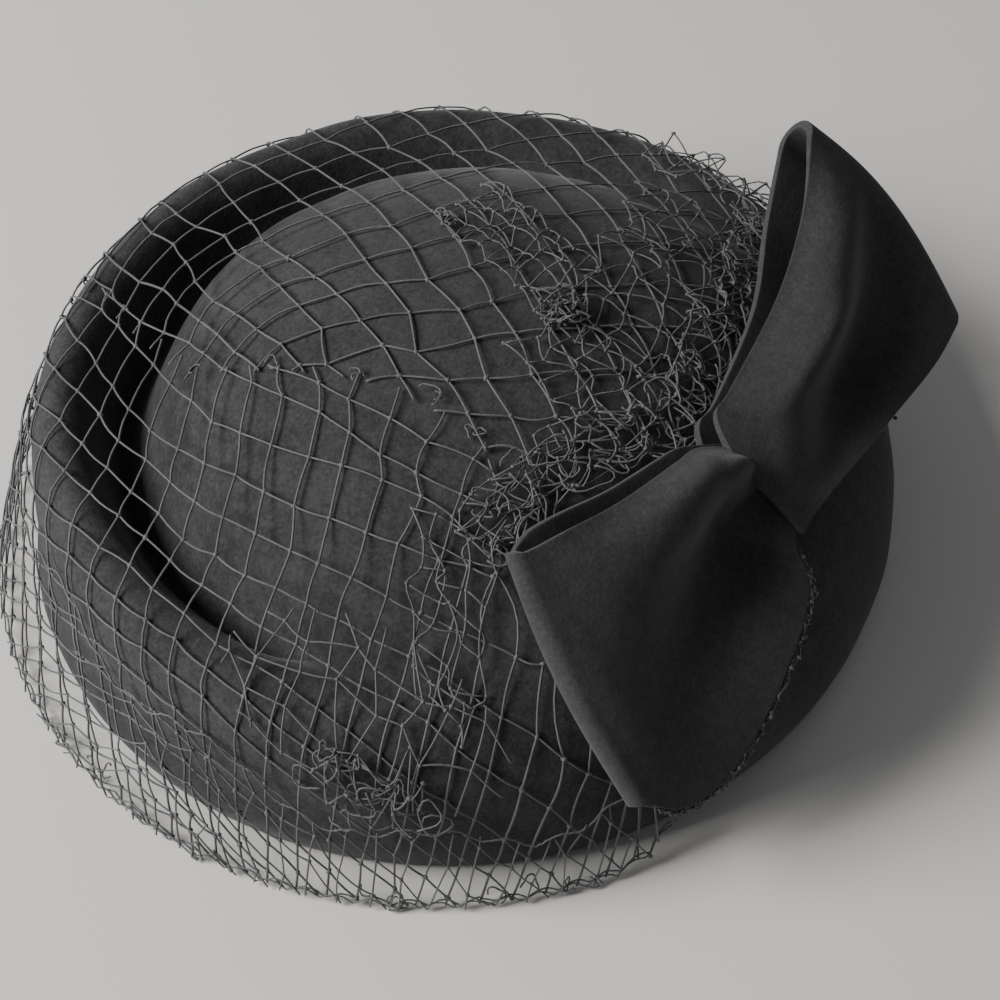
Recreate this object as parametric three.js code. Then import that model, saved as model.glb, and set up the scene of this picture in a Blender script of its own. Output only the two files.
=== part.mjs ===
import * as THREE from "three";

// A black wool felt fascinator of the pillbox kind: one blocked felt shell with a rolled rim and a
// gutter round a domed crown, a felt bow of two flat loops and a band, and the outer form of its net
// veil. Millimetres, +Z up. The bow is on the +X side, the wearer's forehead on the -Y side, and the
// cut edge of the felt shell lies on the plane it rests on.

// ---------------------------------------------------------------- driving dimensions

const FELT = 2; // thickness of the blocked shell
const BOW_FELT = 1.8; // thickness of the bow's strips
const NET = 0.9; // thickness that the net's outer form is given
const GAP = 0.35; // clearance between pieces that lie on each other
const NET_LIFT = 1; // how far the net's outer form stands off the felt that it is pulled over
const AROUND = 48; // steps round the shell and the veil
const STEPS_PER_SECTION = 2;

// Level curves of the shell's outer face, from the cut edge inwards to the crown. Each is an oval that
// reaches back (-X), bow (+X) and side (+-Y) from the middle; egg widens its bow half. Its height runs
// from zBack to zBow round the oval, because the gutter is deep at the back and fades toward the bow.
const SHELL_SECTIONS = [
  { at: "cut edge", back: 94.5, bow: 92, side: 97, egg: 0, zBack: 0, zBow: 0 },
  { at: "lower bulge", back: 97.5, bow: 95, side: 100, egg: 0, zBack: 8, zBow: 8 },
  { at: "waist", back: 95.5, bow: 94.5, side: 99, egg: 0.03, zBack: 21, zBow: 17 },
  { at: "rim flare", back: 96, bow: 91, side: 100, egg: 0.06, zBack: 36, zBow: 26 },
  { at: "rim shoulder", back: 94, bow: 87, side: 98, egg: 0.07, zBack: 44, zBow: 33 },
  { at: "rim top", back: 89, bow: 83, side: 93, egg: 0.07, zBack: 48, zBow: 38.5 },
  { at: "rim inner edge", back: 83.5, bow: 79, side: 86.5, egg: 0.06, zBack: 44, zBow: 43 },
  { at: "gutter wall", back: 80, bow: 75, side: 81, egg: 0.04, zBack: 35, zBow: 46 },
  { at: "gutter floor", back: 75.5, bow: 71, side: 76, egg: 0.03, zBack: 29, zBow: 49 },
  { at: "crown foot", back: 71, bow: 67, side: 71.5, egg: 0.02, zBack: 35, zBow: 51.5 },
  { at: "crown side", back: 66.5, bow: 61, side: 66, egg: 0.02, zBack: 47, zBow: 55.5 },
  { at: "crown shoulder", back: 57, bow: 52, side: 56.5, egg: 0, zBack: 58, zBow: 61 },
  { at: "crown top", back: 38, bow: 35, side: 38, egg: 0, zBack: 66.5, zBow: 67 },
  { at: "crown middle", back: 17, bow: 15, side: 17, egg: 0, zBack: 70.5, zBow: 70.5 },
];
const CROWN_APEX = new THREE.Vector3(-1, 0, 71.3);
// The share of the way from back to bow over which a level curve climbs from zBack to zBow.
const CLIMB = { from: 0.2, to: 0.78 };

// The veil is a net pulled over the shell: it touches what stands out and spans what lies deeper.
// How far past the cut edge the hem lies, fully from fullAt radians off the bow, and its height.
const HEM = { out: 10.5, outAtBow: 6, fullAt: 1.5, height: 0.3 };
const VEIL_ROWS = 15;
const BEND_LENGTH = 25; // the length that one radian of bend counts as when rows are spaced along the net
// Angles from the bow at which the veil's selvage starts up the wall and at which it is highest, and
// the share of the veil's slope that it has climbed there, under the bow.
const SELVAGE = { foot: 0.68, top: 0.12, climb: 0.33 };

// The band is a flat felt ring round the waist of the bow. Its outer face runs from the crown side down
// to its tip, where it is narrower, and the bow's axis crosses it.
const BAND = { crownSide: [61.4, -9.6, 71], tip: [83.9, -4.6, 54], widthAtCrown: 11, widthAtTip: 6 };
// Under the band the two loops are pressed to this gap, end this far apart, and open clear of its edges.
const WAIST = { gap: 2.3, apart: 0.6, clear: 1.5, steps: 26, rows: 3 };
// The free part of each loop, from beside the band to its outer fold. The upper edge lies toward the
// crown and the lower one toward the table. arch rounds both layers between the edges, crest and dip
// lift and sink the outer layer beside the two edges, and gap is the distance between the two layers.
const FRONT_LOOP = [
  { at: "pleat", upper: [60, -21, 72], lower: [90, -14.5, 46], arch: 1.5, crest: 1.5, dip: 2, gap: 4.2 },
  { at: "middle", upper: [56, -36, 73.5], lower: [93, -29, 38], arch: 2.5, crest: 1, dip: 2.6, gap: 5 },
  { at: "flare", upper: [51, -48, 74.5], lower: [92, -48.5, 26.5], arch: 2, crest: 0.5, dip: 1.5, gap: 4.6 },
  { at: "corner", upper: [48, -54, 74], lower: [87.5, -62, 24.5], arch: 1.5, crest: 0, dip: 0.5, gap: 4.2 },
  { at: "fold", upper: [46.5, -57, 74], lower: [82, -69, 29.5], arch: 1, crest: 0, dip: 0, gap: 4 },
];
const BACK_LOOP = [
  { at: "pleat", upper: [60, 6, 70.5], lower: [86, 7, 56], arch: 1.5, crest: 1.5, dip: 2.5, gap: 5 },
  { at: "middle", upper: [57.5, 31, 74.5], lower: [86.5, 28, 53], arch: 2, crest: 1.5, dip: 4, gap: 9 },
  { at: "flare", upper: [53.5, 50, 82], lower: [87, 51, 51], arch: 2, crest: 0.8, dip: 2, gap: 12.5 },
  { at: "fold", upper: [48.5, 62, 91.5], lower: [86, 65.5, 51], arch: 1, crest: 0, dip: 0, gap: 9 },
];
// Where across a loop its crest and dip lie, how wide they are, and how far its fold bulges.
const LOOP = { crestAt: 0.16, crestWidth: 0.16, dipAt: 0.58, dipWidth: 0.26, foldBulge: 1.6 };
const LOOP_STEPS = { along: 12, fold: 4, across: 8 };

// ---------------------------------------------------------------- small helpers

const clamp01 = (value) => Math.max(0, Math.min(1, value));
const smooth = (value) => clamp01(value) ** 2 * (3 - 2 * clamp01(value));
const bell = (distance, spread) => Math.exp(-((distance / spread) ** 2));

/** A Catmull-Rom value at place t along a list of numbers, held at its ends. */
function along(values, t) {
  const last = values.length - 1;
  const i = Math.min(Math.floor(t), last - 1);
  const f = t - i;
  const at = (k) => values[Math.max(0, Math.min(last, k))];
  const [a, b, c, d] = [at(i - 1), at(i), at(i + 1), at(i + 2)];
  const curve = (2 * a - 5 * b + 4 * c - d) * f ** 2 + (3 * b - a - 3 * c + d) * f ** 3;
  return 0.5 * (2 * b + (c - a) * f + curve);
}

/** The row of a table of sections at place t, with every number in it interpolated. */
function rowAt(table, t) {
  const row = {};
  for (const [key, value] of Object.entries(table[0])) {
    if (Array.isArray(value)) {
      row[key] = new THREE.Vector3(...value.map((_, axis) => along(table.map((r) => r[key][axis]), t)));
    } else if (typeof value === "number") {
      row[key] = along(table.map((r) => r[key]), t);
    }
  }
  return row;
}

/**
 * A closed solid between two grids of points. Columns may close on themselves, and the last row may
 * close on a pair of apex points.
 */
function sheetSolid(outer, inner, { closed = false, apex = null } = {}) {
  const triangles = [];
  const quad = (a, b, c, d) => triangles.push([a, b, c], [a, c, d]);
  const rows = outer.length;
  const columns = outer[0].length;
  const spans = closed ? columns : columns - 1;
  for (let c = 0; c < spans; c++) {
    const n = (c + 1) % columns;
    for (let r = 0; r + 1 < rows; r++) {
      quad(outer[r][c], outer[r][n], outer[r + 1][n], outer[r + 1][c]);
      quad(inner[r][n], inner[r][c], inner[r + 1][c], inner[r + 1][n]);
    }
    quad(outer[0][n], outer[0][c], inner[0][c], inner[0][n]);
    const top = rows - 1;
    if (apex) {
      triangles.push([outer[top][c], outer[top][n], apex.outer], [inner[top][n], inner[top][c], apex.inner]);
    } else {
      quad(outer[top][c], outer[top][n], inner[top][n], inner[top][c]);
    }
  }
  if (!closed) {
    const end = columns - 1;
    for (let r = 0; r + 1 < rows; r++) {
      quad(outer[r][0], outer[r + 1][0], inner[r + 1][0], inner[r][0]);
      quad(outer[r + 1][end], outer[r][end], inner[r][end], inner[r + 1][end]);
    }
  }
  const volume = triangles.reduce((sum, [a, b, c]) => sum + a.dot(b.clone().cross(c)), 0);
  const outward = volume > 0 ? triangles : triangles.map(([a, b, c]) => [a, c, b]);
  return new THREE.BufferGeometry().setFromPoints(outward.flat());
}

/** The unit normal of a grid of points at one of them, by the points round it. */
function gridNormal(grid, r, c, closed) {
  const rows = grid.length;
  const columns = grid[0].length;
  const column = (k) => (closed ? (k + columns) % columns : Math.max(0, Math.min(columns - 1, k)));
  const acrossGrid = grid[r][column(c + 1)].clone().sub(grid[r][column(c - 1)]);
  const upGrid = grid[Math.min(rows - 1, r + 1)][c].clone().sub(grid[Math.max(0, r - 1)][c]);
  return acrossGrid.cross(upGrid).normalize();
}

/** A grid moved along its normals by a distance. */
function offsetGrid(grid, distance, closed) {
  return grid.map((row, r) =>
    row.map((p, c) => p.clone().addScaledVector(gridNormal(grid, r, c, closed), distance)),
  );
}

// ---------------------------------------------------------------- felt shell

/** A point of the shell's outer face: t counts sections, angle is measured from the bow. */
function shellPoint(t, angle) {
  const s = rowAt(SHELL_SECTIONS, t);
  const toBow = Math.cos(angle);
  const x = (s.bow - s.back) / 2 + ((s.bow + s.back) / 2) * toBow;
  const y = s.side * Math.sin(angle) * (1 + s.egg * toBow);
  const turn = 1 - offBow(angle) / Math.PI;
  const climb = smooth((turn - CLIMB.from) / (CLIMB.to - CLIMB.from));
  return new THREE.Vector3(x, y, s.zBack + (s.zBow - s.zBack) * climb);
}

const angleAt = (column) => (column / AROUND) * 2 * Math.PI;
const offBow = (angle) => Math.abs(Math.atan2(Math.sin(angle), Math.cos(angle)));
const columnsOf = (makePoint) => Array.from({ length: AROUND }, (_, c) => makePoint(angleAt(c)));

const SHELL_GRID = Array.from({ length: (SHELL_SECTIONS.length - 1) * STEPS_PER_SECTION + 1 }, (_, r) =>
  columnsOf((angle) => shellPoint(r / STEPS_PER_SECTION, angle)),
);

/** One blocked piece of felt, hollow underneath, with its cut edge flat on the ground plane. */
function feltShell() {
  const inner = offsetGrid(SHELL_GRID, -FELT, true);
  inner[0].forEach((p) => p.setZ(0));
  const apex = { outer: CROWN_APEX, inner: CROWN_APEX.clone().setZ(CROWN_APEX.z - FELT) };
  return sheetSolid(SHELL_GRID, inner, { closed: true, apex });
}

// ---------------------------------------------------------------- veil

/** The net's route over the shell at one angle: the taut outer line from the hem to the crown. */
function tautProfile(column) {
  const edge = SHELL_GRID[0][column];
  const reach = Math.hypot(edge.x, edge.y);
  const flare = THREE.MathUtils.lerp(HEM.outAtBow, HEM.out, smooth(offBow(angleAt(column)) / HEM.fullAt));
  const hem = edge.clone().multiplyScalar((reach + flare) / reach).setZ(HEM.height);
  const route = [hem, ...SHELL_GRID.map((row) => row[column]), CROWN_APEX];
  const flat = (p) => new THREE.Vector2(Math.hypot(p.x - CROWN_APEX.x, p.y), p.z);
  const taut = [];
  for (const p of route) {
    while (taut.length > 1) {
      const [a, b, c] = [flat(taut.at(-2)), flat(taut.at(-1)), flat(p)];
      if (b.sub(a).cross(c.sub(a)) > 0) break;
      taut.pop();
    }
    taut.push(p);
  }
  return taut;
}

/** How sharply a line bends at one of its points, in radians. */
function bendAt(line, i) {
  if (i === 0 || i === line.length - 1) return 0;
  const arriving = line[i].clone().sub(line[i - 1]);
  return arriving.angleTo(line[i + 1].clone().sub(line[i]));
}

/** Points along a bent line, closer together where it bends, from a share of its length to its end. */
function resample(line, from, count) {
  const marks = [{ at: 0, point: line[0] }];
  for (let i = 1; i < line.length; i++) {
    const arrival = marks.at(-1).at + line[i].distanceTo(line[i - 1]);
    marks.push({ at: arrival, point: line[i] });
    marks.push({ at: arrival + BEND_LENGTH * bendAt(line, i) + 1e-6, point: line[i] });
  }
  const total = marks.at(-1).at;
  return Array.from({ length: count }, (_, k) => {
    const wanted = total * (from + ((1 - from) * k) / count);
    const i = Math.max(1, marks.findIndex((mark) => mark.at >= wanted));
    const [before, after] = [marks[i - 1], marks[i]];
    return before.point.clone().lerp(after.point, (wanted - before.at) / (after.at - before.at));
  });
}

/** The share of the taut line that the veil leaves bare below its selvage, under the bow. */
function bareShare(angle) {
  return SELVAGE.climb * smooth((SELVAGE.foot - offBow(angle)) / (SELVAGE.foot - SELVAGE.top));
}

/** The outer form of the net: a thin skin from the hem on the table to the top of the crown. */
function netVeil() {
  const lines = Array.from({ length: AROUND }, (_, c) =>
    resample(tautProfile(c), bareShare(angleAt(c)), VEIL_ROWS),
  );
  const taut = Array.from({ length: VEIL_ROWS }, (_, r) => lines.map((line) => line[r]));
  const inner = offsetGrid(taut, NET_LIFT, true);
  const outer = offsetGrid(taut, NET_LIFT + NET, true);
  for (const p of [...inner[0], ...outer[0]]) p.setZ(Math.max(p.z, HEM.height));
  const apex = {
    outer: CROWN_APEX.clone().setZ(CROWN_APEX.z + NET_LIFT + NET),
    inner: CROWN_APEX.clone().setZ(CROWN_APEX.z + NET_LIFT),
  };
  return sheetSolid(outer, inner, { closed: true, apex });
}

// ---------------------------------------------------------------- bow

/** The waist's own directions: along the bow's axis, across it toward the tip, and out of the hat. */
function waistFrame() {
  const crownSide = new THREE.Vector3(...BAND.crownSide);
  const tip = new THREE.Vector3(...BAND.tip);
  const foldMiddle = ({ upper, lower }) => new THREE.Vector3(...upper).add(new THREE.Vector3(...lower));
  const axis = foldMiddle(BACK_LOOP.at(-1)).sub(foldMiddle(FRONT_LOOP.at(-1))).normalize();
  const across = tip.clone().sub(crownSide);
  across.addScaledVector(axis, -across.dot(axis));
  const length = across.length();
  across.normalize();
  const out = axis.clone().cross(across);
  if (out.x < 0) out.negate();
  const radius = WAIST.gap / 2 + BOW_FELT + 2 * GAP;
  const middle = crownSide.add(tip).divideScalar(2).addScaledVector(out, -radius - BOW_FELT / 2);
  return { axis, across, out, middle, radius, halfStraight: length / 2 - radius - BOW_FELT / 2 };
}

/** A loop's whole table: its free rows after the row where it leaves the band. */
function wholeLoop(freeRows, side) {
  const { axis, across, out, middle, halfStraight } = waistFrame();
  const edge = (toTip, width) =>
    middle
      .clone()
      .addScaledVector(out, WAIST.gap / 2)
      .addScaledVector(across, toTip * halfStraight)
      .addScaledVector(axis, side * (width / 2 + WAIST.clear))
      .toArray();
  const upper = edge(-1, BAND.widthAtCrown);
  const lower = edge(1, BAND.widthAtTip);
  return [{ at: "band", upper, lower, arch: 0, crest: 0, dip: 0, gap: WAIST.gap }, ...freeRows];
}

/** One place along a loop: its row, the way it runs and the way its outer layer faces. */
function loopStation(table, t) {
  const row = rowAt(table, t);
  const before = rowAt(table, Math.max(0, t - 0.1));
  const after = rowAt(table, Math.min(table.length - 1, t + 0.1));
  const ahead = after.upper.clone().add(after.lower).sub(before.upper).sub(before.lower).normalize();
  const out = row.lower.clone().sub(row.upper).cross(ahead).normalize();
  if (out.x < 0) out.negate();
  return { row, ahead, out };
}

/** The middle of a loop's felt: out along the outer layer, round the fold and back underneath. */
function loopGrid(table) {
  const last = table.length - 1;
  const layer = ({ row, ahead, out }, lift, push) =>
    Array.from({ length: LOOP_STEPS.across + 1 }, (_, k) => {
      const w = k / LOOP_STEPS.across;
      const rise = row.arch * Math.sin(Math.PI * w) + lift(w);
      return row.upper.clone().lerp(row.lower, w).addScaledVector(out, rise).addScaledVector(ahead, push(w));
    });
  const shares = Array.from({ length: LOOP_STEPS.along + 1 }, (_, k) => k / LOOP_STEPS.along);
  const stations = shares.map((share) => loopStation(table, share * last));
  const bulge = (k, w) => LOOP.foldBulge * shares[k] ** 3 * Math.sin(Math.PI * w);
  const relief = (row, w) =>
    row.crest * bell(w - LOOP.crestAt, LOOP.crestWidth) - row.dip * bell(w - LOOP.dipAt, LOOP.dipWidth);
  const outer = stations.map((s, k) => layer(s, (w) => relief(s.row, w), (w) => bulge(k, w)));
  const under = stations.map((s, k) => layer(s, () => -s.row.gap, (w) => bulge(k, w))).reverse();
  const fold = stations.at(-1);
  const radius = fold.row.gap / 2;
  const roundFold = Array.from({ length: LOOP_STEPS.fold }, (_, k) => {
    const turn = ((k + 1) / (LOOP_STEPS.fold + 1)) * Math.PI;
    const reach = (w) => bulge(LOOP_STEPS.along, w) + radius * Math.sin(turn);
    return layer(fold, () => radius * (Math.cos(turn) - 1), reach);
  });
  return [...outer, ...roundFold, ...under];
}

/** A flat felt loop, open along its upper and lower edges, with its ends tucked under the band. */
function bowLoop(freeRows, side) {
  const { axis, out, middle, across, halfStraight } = waistFrame();
  const tucked = (layer, reach) =>
    Array.from({ length: LOOP_STEPS.across + 1 }, (_, k) => {
      const w = k / LOOP_STEPS.across;
      const bandEdge = THREE.MathUtils.lerp(BAND.widthAtCrown, BAND.widthAtTip, w) / 2 + GAP;
      return middle
        .clone()
        .addScaledVector(out, (layer * WAIST.gap) / 2)
        .addScaledVector(across, halfStraight * (2 * w - 1))
        .addScaledVector(axis, side * THREE.MathUtils.lerp(WAIST.apart / 2, bandEdge, reach));
    });
  const free = loopGrid(wholeLoop(freeRows, side));
  const grid = [tucked(1, 0), tucked(1, 1), ...free, tucked(-1, 1), tucked(-1, 0)];
  return sheetSolid(offsetGrid(grid, BOW_FELT / 2, false), offsetGrid(grid, -BOW_FELT / 2, false));
}

/** The ring of felt that closes round the inner ends of both loops: a flat ring with round sides. */
function bowBand() {
  const { axis, across, out, middle, radius, halfStraight } = waistFrame();
  const ring = (row, grow) =>
    Array.from({ length: WAIST.steps }, (_, k) => {
      const angle = (k / WAIST.steps) * 2 * Math.PI;
      const toTip = Math.cos(angle);
      const wide = Math.sign(toTip) * halfStraight + toTip * (radius + grow);
      const width = THREE.MathUtils.lerp(BAND.widthAtCrown, BAND.widthAtTip, (1 + toTip) / 2);
      return middle
        .clone()
        .addScaledVector(across, wide)
        .addScaledVector(out, Math.sin(angle) * (radius + grow))
        .addScaledVector(axis, width * (row / WAIST.rows - 0.5));
    });
  const rows = Array.from({ length: WAIST.rows + 1 }, (_, row) => row);
  return sheetSolid(
    rows.map((row) => ring(row, BOW_FELT / 2)),
    rows.map((row) => ring(row, -BOW_FELT / 2)),
    { closed: true },
  );
}

// ---------------------------------------------------------------- assembly

const PIECES = [
  { name: "felt_body", make: feltShell, color: 0x1b1b1c, roughness: 0.95 },
  { name: "veil", make: netVeil, color: 0x2a2a2c, roughness: 0.7 },
  { name: "bow_front_loop", make: () => bowLoop(FRONT_LOOP, -1), color: 0x1b1b1c, roughness: 0.95 },
  { name: "bow_back_loop", make: () => bowLoop(BACK_LOOP, 1), color: 0x1b1b1c, roughness: 0.95 },
  { name: "bow_band", make: bowBand, color: 0x1b1b1c, roughness: 0.95 },
];

const fascinator = new THREE.Group();
for (const { name, make, color, roughness } of PIECES) {
  const piece = new THREE.Mesh(make(), new THREE.MeshStandardMaterial({ color, roughness, metalness: 0 }));
  piece.name = name;
  fascinator.add(piece);
}
// The origin is under the middle of everything, at the height of the cut edge.
const bounds = new THREE.Box3().setFromObject(fascinator);
const middle = bounds.getCenter(new THREE.Vector3());
fascinator.position.set(-middle.x, -middle.y, -bounds.min.z);

export default fascinator;
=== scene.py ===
"""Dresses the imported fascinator: felt shell, felt bow and net veil, with floor, light and camera."""

import logging
import math
import random
from dataclasses import dataclass
from enum import Enum
from typing import Any, Callable, Sequence

import bpy
import numpy as np
from mathutils import Matrix, Vector, noise
from mathutils.bvhtree import BVHTree


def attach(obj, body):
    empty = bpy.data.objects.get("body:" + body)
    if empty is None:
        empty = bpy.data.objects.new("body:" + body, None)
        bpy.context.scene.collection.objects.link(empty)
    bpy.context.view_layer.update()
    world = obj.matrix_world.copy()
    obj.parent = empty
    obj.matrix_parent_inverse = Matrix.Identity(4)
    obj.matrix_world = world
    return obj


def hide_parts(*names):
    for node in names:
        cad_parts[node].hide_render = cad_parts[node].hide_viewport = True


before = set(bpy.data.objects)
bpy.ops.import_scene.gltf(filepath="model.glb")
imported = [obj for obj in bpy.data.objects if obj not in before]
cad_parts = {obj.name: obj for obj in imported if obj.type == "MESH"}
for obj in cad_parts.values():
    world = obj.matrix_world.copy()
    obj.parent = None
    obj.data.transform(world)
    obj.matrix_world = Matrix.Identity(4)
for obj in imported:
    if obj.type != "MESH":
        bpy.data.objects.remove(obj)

log = logging.getLogger("fascinator")

MM = 0.001
BODY = "root"
# The middle that the felt and the net are measured from, in metres, 15 mm up inside the crown.
HEART = (0.0048, 0.0, 0.015)
# The range of a random turn in radians.
ANY_TURN = (0.0, 6.28)

Point = np.ndarray
Values = dict[str, Any]
Colour = tuple[float, float, float]
Span = tuple[float, float]


# ---------------------------------------------------------------- shader maths


class Wire:
    """One output of a node tree, on which arithmetic adds Math nodes."""

    def __init__(self, bench: "MaterialBench", socket: bpy.types.NodeSocket) -> None:
        """Holds the output and the bench that adds nodes to its tree."""
        self.bench = bench
        self.socket = socket

    def _math(self, operation: str, *terms: "Wire | float") -> "Wire":
        """Adds one Math node.

        Args:
            operation: The node's operation.
            terms: Its inputs in order.

        Returns:
            The node's value.
        """
        return self.bench.node("ShaderNodeMath", {"operation": operation}, dict(enumerate(terms)))

    def __add__(self, other: "Wire | float") -> "Wire":
        """The sum."""
        return self._math("ADD", self, other)

    def __radd__(self, other: float) -> "Wire":
        """The sum, from a plain number."""
        return self._math("ADD", other, self)

    def __mul__(self, other: "Wire | float") -> "Wire":
        """The product."""
        return self._math("MULTIPLY", self, other)

    def __rmul__(self, other: float) -> "Wire":
        """The product with a plain number."""
        return self._math("MULTIPLY", other, self)

    def clamped(self) -> "Wire":
        """The value held between 0 and 1."""
        return self.bench.node("ShaderNodeClamp", {}, {"Value": self})


class MaterialBench:
    """A new material with its node tree and its shader."""

    def __init__(self, name: str) -> None:
        """Starts a material.

        Args:
            name: The material's name.
        """
        self.material = bpy.data.materials.new(name)
        self.material.use_nodes = True
        self.tree = self.material.node_tree
        self.shader = self.tree.nodes["Principled BSDF"]

    def node(
        self, kind: str, settings: Values, inputs: dict[int | str, Any], output: int | str = 0
    ) -> Wire:
        """Adds a node, sets its settings first and then its inputs.

        Args:
            kind: The node's type.
            settings: Its properties, and the stops of a ramp under "stops".
            inputs: A value or a wire for each input that is set.
            output: Which output is returned.

        Returns:
            The chosen output.
        """
        made = self.tree.nodes.new(kind)
        for key, value in settings.items():
            if key == "stops":
                self._set_stops(made.color_ramp, value)
            else:
                setattr(made, key, value)
        for key, value in inputs.items():
            self.feed(made.inputs[key], value)
        return Wire(self, made.outputs[output])

    @staticmethod
    def _set_stops(ramp: bpy.types.ColorRamp, stops: Sequence[tuple[float, float]]) -> None:
        """Sets a ramp's stops as pairs of position and grey.

        Args:
            ramp: The ramp.
            stops: Pairs of position and grey.
        """
        while len(ramp.elements) < len(stops):
            ramp.elements.new(1.0)
        for element, (position, grey) in zip(ramp.elements, stops):
            element.position = position
            element.color = (grey, grey, grey, 1.0)

    def feed(self, socket: bpy.types.NodeSocket, value: Any) -> None:
        """Links a wire to an input, or sets the input to a plain value.

        Args:
            socket: The input.
            value: A wire or a plain value.
        """
        if isinstance(value, Wire):
            self.tree.links.new(value.socket, socket)
        else:
            socket.default_value = value

    def set_shader(self, **values: Any) -> None:
        """Feeds the shader's inputs; an underscore in a name stands for a space."""
        for key, value in values.items():
            self.feed(self.shader.inputs[key.replace("_", " ")], value)

    def place(self) -> Wire:
        """The point of the surface in its object's own coordinates."""
        return self.node("ShaderNodeTexCoord", {}, {}, "Object")

    def cloud(self, place: Wire, size: float, detail: float = 2.0, roughness: float = 0.5) -> Wire:
        """Makes a soft noise between 0 and 1.

        Args:
            place: Where the noise is read.
            size: The size of its features in metres.
            detail: How many finer layers it has.
            roughness: How strong the finer layers are.

        Returns:
            The noise's value.
        """
        inputs = {"Vector": place, "Scale": 1 / size, "Detail": detail, "Roughness": roughness}
        return self.node("ShaderNodeTexNoise", {"noise_dimensions": "3D"}, inputs, 0)

    def ramp(self, value: Wire, stops: Sequence[tuple[float, float]]) -> Wire:
        """A value passed through a grey ramp."""
        return self.node("ShaderNodeValToRGB", {"stops": stops}, {"Fac": value})

    def bump(self, height: Wire, strength: float, depth: float) -> Wire:
        """A normal that follows a height, as deep as a distance in metres."""
        inputs = {"Strength": strength, "Distance": depth, "Height": height}
        return self.node("ShaderNodeBump", {}, inputs)

    def blend(self, share: Wire, low: Any, high: Any) -> Wire:
        """Two colours mixed by a share.

        Args:
            share: 0 gives low and 1 gives high.
            low: A colour or a wire.
            high: A colour or a wire.

        Returns:
            The mixed colour.
        """
        return self.node("ShaderNodeMix", {"data_type": "RGBA"}, {0: share, 6: low, 7: high}, 2)


def rgba(colour: Colour, gain: float = 1.0) -> tuple[float, float, float, float]:
    """A colour with its alpha, made lighter or darker by a factor."""
    return (colour[0] * gain, colour[1] * gain, colour[2] * gain, 1.0)


@dataclass(frozen=True)
class FeltFinish:
    """Blocked or pressed wool felt: short matt nap, faint clouding, and a few lighter fibres.

    Attributes:
        grain: The size of the nap in metres.
        bump: How high the nap stands, in metres.
        fibre: How strongly the lighter fibres show.
        sheen: How much light the nap's tips catch.
        mottle: How much the tone changes from place to place.
    """

    name: str
    colour: Colour
    grain: float
    bump: float
    fibre: float
    sheen: float
    mottle: float

    def material(self) -> bpy.types.Material:
        """Builds the felt.

        Returns:
            The material.
        """
        bench = MaterialBench(self.name)
        place = bench.place()
        nap = bench.cloud(place, self.grain, 3.0, 0.62)
        tufts = bench.cloud(place, self.grain * 3.2, 2.0, 0.55)
        patches = bench.cloud(place, 0.021, 2.0, 0.5)
        stretched = bench.node("ShaderNodeMapping", {}, {"Vector": place, "Scale": (1.0, 0.55, 3.0)})
        fibres = bench.cloud(stretched, self.grain * 1.1, 1.0, 0.4)
        fibre_mask = bench.ramp(fibres, [(0.62, 0.0), (0.74, 1.0)])
        tone = bench.ramp(nap * 0.55 + tufts * 0.3 + patches * 0.25, [(0.44, 0.0), (0.68, 1.0)])
        dark, light = rgba(self.colour, 1 - self.mottle), rgba(self.colour, 1 + 1.2 * self.mottle)
        cloth = bench.blend(tone, dark, light)
        lit = bench.blend(fibre_mask * self.fibre, cloth, rgba(self.colour, 2.0))
        height = nap * 0.6 + tufts * 0.6 + fibre_mask * 0.25
        normal = bench.bump(height, 0.55, self.bump)
        bench.set_shader(
            Base_Color=lit, Roughness=(0.88 + nap * 0.12).clamped(), Normal=normal,
            Sheen_Weight=self.sheen, Sheen_Roughness=0.45, Specular_IOR_Level=0.22,
        )
        return bench.material


@dataclass(frozen=True)
class NetFinish:
    """Fine stiff thread with a faint twist and a tone that changes from place to place."""

    name: str
    colour: Colour

    def material(self) -> bpy.types.Material:
        """Builds the thread.

        Returns:
            The material.
        """
        bench = MaterialBench(self.name)
        place = bench.place()
        twist = bench.cloud(place, 0.0006, 2.0, 0.6)
        tone = bench.cloud(place, 0.012, 2.0, 0.5)
        shade = bench.ramp(twist * 0.5 + tone * 0.5, [(0.36, 0.0), (0.66, 1.0)])
        colour = bench.blend(shade, rgba(self.colour, 0.66), rgba(self.colour, 1.35))
        normal = bench.bump(twist, 0.5, 0.00012)
        bench.set_shader(
            Base_Color=colour, Roughness=(0.5 + twist * 0.25).clamped(), Normal=normal,
            Sheen_Weight=0.15, Specular_IOR_Level=0.4,
        )
        return bench.material


@dataclass(frozen=True)
class FloorFinish:
    """Plain pale matt floor with a barely visible unevenness."""

    name: str
    colour: Colour

    def material(self) -> bpy.types.Material:
        """Builds the floor's finish.

        Returns:
            The material.
        """
        bench = MaterialBench(self.name)
        tone = bench.cloud(bench.place(), 0.4, 2.0, 0.5)
        colour = bench.blend(tone, rgba(self.colour, 0.985), rgba(self.colour, 1.01))
        bench.set_shader(Base_Color=colour, Roughness=0.8, Specular_IOR_Level=0.2)
        return bench.material


# ---------------------------------------------------------------- modelling bench


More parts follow.
